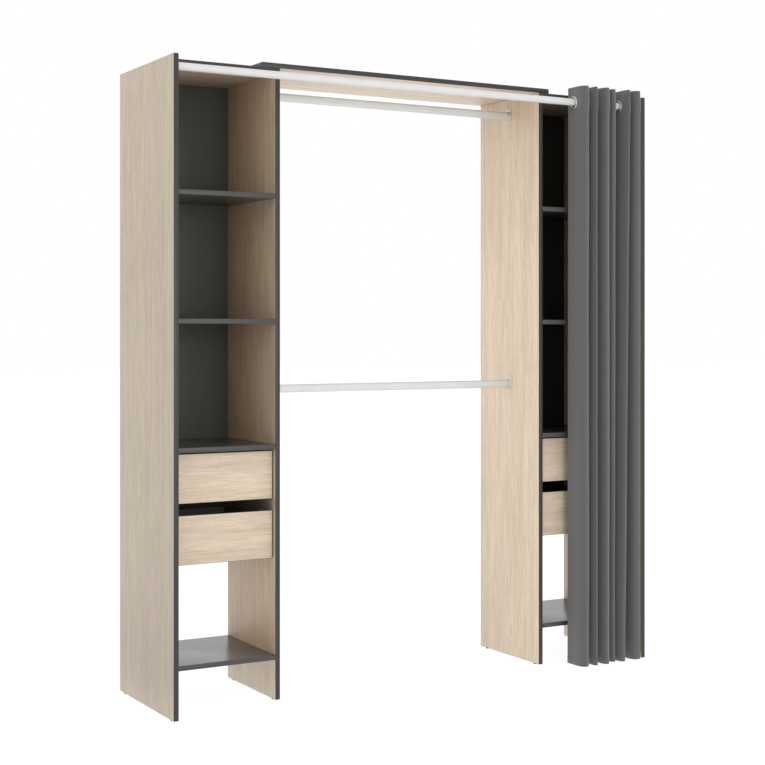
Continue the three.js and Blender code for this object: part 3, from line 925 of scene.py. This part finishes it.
def fold_tip(fold, height):
    """Where a fold's tip lies in plan at a height above the hem."""
    top_share, hem_share, reach_share = FOLD_TIP_SHARES[fold]
    share = hem_share + (top_share - hem_share) * straightness(height)
    reach = -FRONT_REACH if fold % 2 == 0 else BACK_REACH
    at_rod = math.exp(-((height + CLOTH_LOW.z - EYELET_Z) / BULGE_HEIGHT) ** 2)
    x = gathered(share) + sway(fold, height, SWAY_ACROSS, seed=1) + BULGE_SHIFT * at_rod
    depth = reach_share * reach * (1 + BULGE_REACH_SHARE * at_rod) + sway(fold, height, SWAY_DEEP, seed=2)
    return Vector((x, ROD_AXIS_Y + depth))


def bezier(a, b, c, d, t):
    """The point at a share of a curve from a to d with handles b and c."""
    u = 1 - t
    return a * u**3 + b * (3 * u * u * t) + c * (3 * u * t * t) + d * t**3


def half_fold(crossing, edge, tip, handle):
    """Plan points from the flat stretch at a crossing round to the fold's tip."""
    longest, leg_share, tip_share = handle
    reach = math.copysign(min(tip_share * abs(tip.x - crossing), longest), tip.x - crossing)
    start = Vector((crossing, edge))
    leg_handle = Vector((crossing, edge + leg_share * (tip.y - edge)))
    tip_handle = Vector((tip.x - reach, tip.y))
    return [bezier(start, leg_handle, tip_handle, tip, i / FOLD_STEPS) for i in range(FOLD_STEPS + 1)]


def straight(x, start, end):
    """Plan points over a crossing, where the eyelet's hole is."""
    return [Vector((x, start + (end - start) * i / HOLE_STEPS)) for i in range(HOLE_STEPS + 1)]


def leading_edge(x, near):
    """Plan points from the free edge to the first crossing."""
    edge_y = ROD_AXIS_Y + LEADING_REACH_SHARE * BACK_REACH
    return [Vector((x, edge_y + (near - edge_y) * share)) for share in LEADING_STEP_SHARES]


def tail_edge(x, near):
    """Plan points from the last crossing to the tail's edge beside the panel."""
    end = Vector((RIGHT_WALL - TAIL_GAP, ROD_AXIS_Y + TAIL_REACH_SHARE * BACK_REACH))
    start = Vector((x, near))
    start_handle = Vector((x, near + TAIL_START_SHARE * (end.y - near)))
    end_handle = Vector((end.x - TAIL_END_HANDLE[0], end.y - TAIL_END_HANDLE[1]))
    return [bezier(start, start_handle, end_handle, end, i / TAIL_STEPS) for i in range(1, TAIL_STEPS + 1)]


def strip_line(fold, height):
    """One strip of cloth in plan: a whole crossing, the fold's two halves and the start of the next one."""
    x, next_x = leg(fold, height), leg(fold + 1, height)
    side = 1 if fold % 2 == 0 else -1
    near, far = ROD_AXIS_Y + side * SEAM_HALF, ROD_AXIS_Y - side * SEAM_HALF
    flat_end = ROD_AXIS_Y - side * FLAT_HALF
    tip = fold_tip(fold, height)
    line = leading_edge(x, near) if fold == 0 else []
    line += straight(x, near, far)
    line += half_fold(x, flat_end, tip, ENTRY_HANDLE)
    line += half_fold(next_x, flat_end, tip, EXIT_HANDLE)[-2::-1]
    if fold < FOLD_COUNT - 1:
        line.append(Vector((next_x, far)))
    else:
        line += straight(next_x, far, near)
        line += tail_edge(next_x, near)
    return line


def seam_rows(height):
    """A row on a seam and one close on each side."""
    return [height - SEAM_STEP, height, height + SEAM_STEP]


def cloth_rows():
    """Heights above the hem, close together at seams and eyelets, and the eyelets' first row."""
    first, last = HEM_HEIGHT + ROW_GAP, HEADER_SEAM - ROW_GAP
    rows = [*HEM_ROWS, *seam_rows(HEM_HEIGHT)]
    rows += [first + (last - first) * i / ROW_SPANS for i in range(ROW_SPANS + 1)]
    rows += seam_rows(HEADER_SEAM)
    hole_row = len(rows)
    eyelet_height = EYELET_Z - CLOTH_LOW.z
    rows += [eyelet_height + SEAM_HALF * (2 * i / HOLE_STEPS - 1) for i in range(HOLE_STEPS + 1)]
    rows.append(rows[-1] + ROW_GAP)
    rows += [CLOTH_HEIGHT - below for below in TOP_ROWS]
    return rows, hole_row


def half_thickness(height):
    """Half the cloth's thickness: doubled at the hem and in the header, drawn in at their seams."""
    if height < SAME_ROW or height > CLOTH_HEIGHT - SAME_ROW:
        return CUT_EDGE_SHARE * CLOTH_HALF
    if abs(height - HEM_HEIGHT) < SAME_ROW or abs(height - HEADER_SEAM) < SAME_ROW:
        return CLOTH_HALF
    if height < HEM_HEIGHT or height > HEADER_SEAM:
        return CLOTH_HALF + HEM_EXTRA
    return CLOTH_HALF


def unit_normals(line):
    """The directions across a plan line at its points."""
    normals = []
    for i in range(len(line)):
        along = (line[min(i + 1, len(line) - 1)] - line[max(i - 1, 0)]).normalized()
        normals.append(Vector((-along.y, along.x)))
    return normals


def cloth_grid(fold):
    """The strip's middle surface: points, normals, thickness, cloth coordinates and quads, with its holes."""
    rows, hole_row = cloth_rows()
    lines = [strip_line(fold, height) for height in rows]
    columns = len(lines[0])
    holes = [len(LEADING_STEP_SHARES) if fold == 0 else 0]
    if fold == FOLD_COUNT - 1:
        holes.append(columns - 1 - TAIL_STEPS - HOLE_STEPS)
    points, normals, halves, coords = [], [], [], []
    for height, line in zip(rows, lines):
        run = 0.0
        for i, (place, normal) in enumerate(zip(line, unit_normals(line))):
            run += (place - line[i - 1]).length if i else 0.0
            points.append(Vector((place.x, place.y, CLOTH_LOW.z + height)))
            normals.append(Vector((normal.x, normal.y, 0)))
            halves.append(half_thickness(height))
            coords.append((run + STRIP_RUN * fold, height))
    quads = []
    for r in range(len(rows) - 1):
        for c in range(columns - 1):
            if hole_row <= r < hole_row + HOLE_STEPS and any(h <= c < h + HOLE_STEPS for h in holes):
                continue
            a = r * columns + c
            quads.append((a, a + 1, a + 1 + columns, a + columns))
    for hole in holes:
        ring_hole(hole_row * columns + hole, columns, points, normals, halves, coords, quads)
    return points, normals, halves, coords, quads


def hole_rim(corner, columns):
    """The grid points round a hole's square, in order from its first corner."""
    n = HOLE_STEPS
    rim = [corner + i for i in range(n)]
    rim += [corner + i * columns + n for i in range(n)]
    rim += [corner + n * columns + n - i for i in range(n)]
    rim += [corner + (n - i) * columns for i in range(n)]
    return rim


def ring_hole(corner, columns, points, normals, halves, coords, quads):
    """Fills a square gap in the grid up to the round hole of an eyelet."""
    turn = 1 if points[corner + 1].y > points[corner].y else -1
    rim = hole_rim(corner, columns)
    inner = []
    for index in rim:
        flat = points[index]
        offset = Vector((flat.y - ROD_AXIS_Y, flat.z - EYELET_Z)).normalized() * HOLE_RADIUS
        inner.append(len(points))
        points.append(Vector((flat.x, ROD_AXIS_Y + offset.x, EYELET_Z + offset.y)))
        normals.append(normals[index])
        halves.append(halves[index])
        shift = points[-1] - flat
        coords.append((coords[index][0] + turn * shift.y, coords[index][1] + shift.z))
    for i in range(len(rim)):
        j = (i + 1) % len(rim)
        quads.append((rim[i], rim[j], inner[j], inner[i]))


def thicken(bm, points, normals, halves, coords, quads):
    """Makes a closed sheet of a middle surface: both faces, and a wall along every open edge."""
    layer = bm.loops.layers.uv.new("cloth")
    faces = []
    sides = []
    for sign in (1, -1):
        sides.append([bm.verts.new(p + n * (sign * h)) for p, n, h in zip(points, normals, halves)])
    for quad in quads:
        faces.append(([sides[0][i] for i in quad], quad))
        faces.append(([sides[1][i] for i in reversed(quad)], tuple(reversed(quad))))
    edges = dict.fromkeys(edge for quad in quads for edge in zip(quad, quad[1:] + quad[:1]))
    for a, b in edges:
        if (b, a) not in edges:
            faces.append(([sides[0][b], sides[0][a], sides[1][a], sides[1][b]], (b, a, a, b)))
    for verts, indices in faces:
        face = bm.faces.new(verts)
        for loop, index in zip(face.loops, indices):
            loop[layer].uv = coords[index]


def stitch(bm, place, along, normal, height):
    """One stitch: a tapered bar that shows on both faces."""
    centre = Vector((place.x, place.y, CLOTH_LOW.z + height))
    run = Vector((along.x, along.y, 0)) * (STITCH_LENGTH / 2)
    out = Vector((normal.x, normal.y, 0)) * (CLOTH_HALF + HEM_EXTRA / 2)
    up = Vector((0, 0, STITCH_HALF))
    loops = []
    for share, thick in STITCH_TAPER_SHARES:
        point = centre + run * share
        ring = (point + up, point + out * thick, point - up, point - out * thick)
        loops.append([bm.verts.new(p) for p in ring])
    faces = [*bridge(bm, loops), bm.faces.new(loops[0]), bm.faces.new(loops[-1])]
    for face in faces:
        face.material_index = THREAD_INDEX


def stitches(bm, fold, height):
    """A row of stitches through both faces at a seam's height."""
    line = strip_line(fold, height)
    normals = unit_normals(line)
    travelled, wanted = 0.0, STITCH_PITCH / 2
    for i in range(1, len(line)):
        step = line[i] - line[i - 1]
        while travelled + step.length > wanted:
            place = line[i - 1] + step * ((wanted - travelled) / step.length)
            stitch(bm, place, step.normalized(), normals[i], height)
            wanted += STITCH_PITCH
        travelled += step.length


def curtain_strip(fold):
    """One strip of the curtain, from an eyelet's crossing over one fold to the next crossing."""
    bm = bmesh.new()
    thicken(bm, *cloth_grid(fold))
    for height in (HEM_HEIGHT, HEADER_SEAM, CLOTH_HEIGHT - TOP_STITCHES):
        stitches(bm, fold, height)
    bmesh.ops.recalc_face_normals(bm, faces=bm.faces)
    strip = piece(f"curtain_strip_{fold + 1:02d}", bm, [CURTAIN_CLOTH, THREAD], None, smooth=CLOTH_SMOOTH)
    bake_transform(strip)
    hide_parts("curtain")
    line = strip_line(fold, CLOTH_HEIGHT / 2)


# Stage, lights and camera

def floor():
    """A pale floor that glows a little, as the photograph's white ground does."""
    bm = bmesh.new()
    bmesh.ops.create_grid(bm, x_segments=1, y_segments=1, size=FLOOR_SIZE)
    n = Nodes("floor", roughness=0.9)
    n.set({"Emission Color": WHITE, "Emission Strength": FLOOR_GLOW, "Specular IOR Level": 0.0})
    speck = n.noise(n.object_coords(), scale=3.0)
    stops = [(place, (tone, tone, tone)) for place, tone in zip(NOISE_SPAN, FLOOR_TONES)]
    piece("floor", bm, [n.finish(n.ramp(speck, stops))], None)


def world():
    """An even white sky."""
    made = bpy.data.worlds.new("studio")
    bpy.context.scene.world = made
    made.use_nodes = True
    sky = made.node_tree.nodes["Background"]
    sky.inputs["Color"].default_value = (*WHITE, 1)
    sky.inputs["Strength"].default_value = WORLD_STRENGTH


def area_light(name, place, target, size, power, colour=WHITE):
    """A rectangular light that faces its target."""
    data = bpy.data.lights.new(name, "AREA")
    data.color = colour
    data.shape = "RECTANGLE"
    data.size, data.size_y = size
    data.energy = power
    lamp = bpy.data.objects.new(name, data)
    bpy.context.scene.collection.objects.link(lamp)
    lamp.location = place
    lamp.rotation_euler = (Vector(target) - Vector(place)).to_track_quat("-Z", "Y").to_euler()
    return lamp


def fill(name, beside, gap, y, span, width, power, colour=WHITE, facing=(1, 0), lit=None):
    """An upright strip light to the right of a panel, unseen itself, that may light one piece alone."""
    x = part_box(beside)[1].x + gap
    z = sum(span) / 2
    target = (x + facing[0], y + facing[1], z)
    lamp = area_light(name, (x, y, z), target, (span[1] - span[0], width), power, colour)
    lamp.rotation_euler.rotate_axis("Z", math.pi / 2)
    lamp.visible_camera = False
    lamp.visible_glossy = False
    if lit:
        receivers = bpy.data.collections.new(f"{name}_receivers")
        receivers.objects.link(bpy.data.objects[lit])
        lamp.light_linking.receiver_collection = receivers


def flag(name, distance, width, height):
    """A black card beside the left column, out of the camera's sight, that shades its outer face."""
    bm = bmesh.new()
    x = CAD_BOX[0][0] - distance
    corners = ((-1, 0), (1, 0), (1, 1), (-1, 1))
    bm.faces.new([bm.verts.new((x, y * width / 2, z * height)) for y, z in corners])
    n = Nodes(name, roughness=1.0)
    n.set({"Specular IOR Level": 0.0})
    card = piece(name, bm, [n.finish((0.0, 0.0, 0.0))], None)
    card.visible_camera = False


def camera():
    """The photograph's view, level and shifted."""
    data = bpy.data.cameras.new("camera")
    data.lens = CAMERA_LENS
    data.sensor_width = CAMERA_SENSOR
    data.shift_x, data.shift_y = CAMERA_SHIFT
    data.clip_end = CAMERA_CLIP
    made = bpy.data.objects.new("camera", data)
    bpy.context.scene.collection.objects.link(made)
    made.location = CAMERA_PLACE
    made.rotation_euler = (math.pi / 2, 0, CAMERA_YAW)
    bpy.context.scene.camera = made


camera()
world()
floor()
bpy.context.scene.view_settings.view_transform = "Standard"

for side_name in SIDES:
    column(side_name)
    for level_name in LEVELS:
        drawer(f"{side_name}_{level_name}_drawer")
# The top board wears the lighter oak copy: painted light.
make_board("top_board", "top_board", OAK_TOP_PAINTED_LIGHT)
hanging_rail("upper_rail")
hanging_rail("lower_rail")
curtain_rod()
rings = [eyelet(index + 1) for index in range(EYELET_COUNT)]
for fold_index, eyelet_ring in enumerate(rings[:FOLD_COUNT]):
    curtain_strip(fold_index)

for flag_name, flag_sizes in FLAGS.items():
    flag(flag_name, *flag_sizes)
area_light("front_key", KEY_PLACE, KEY_TARGET, KEY_SIZE, KEY_POWER)
for settings in FILLS:
    fill(**settings)
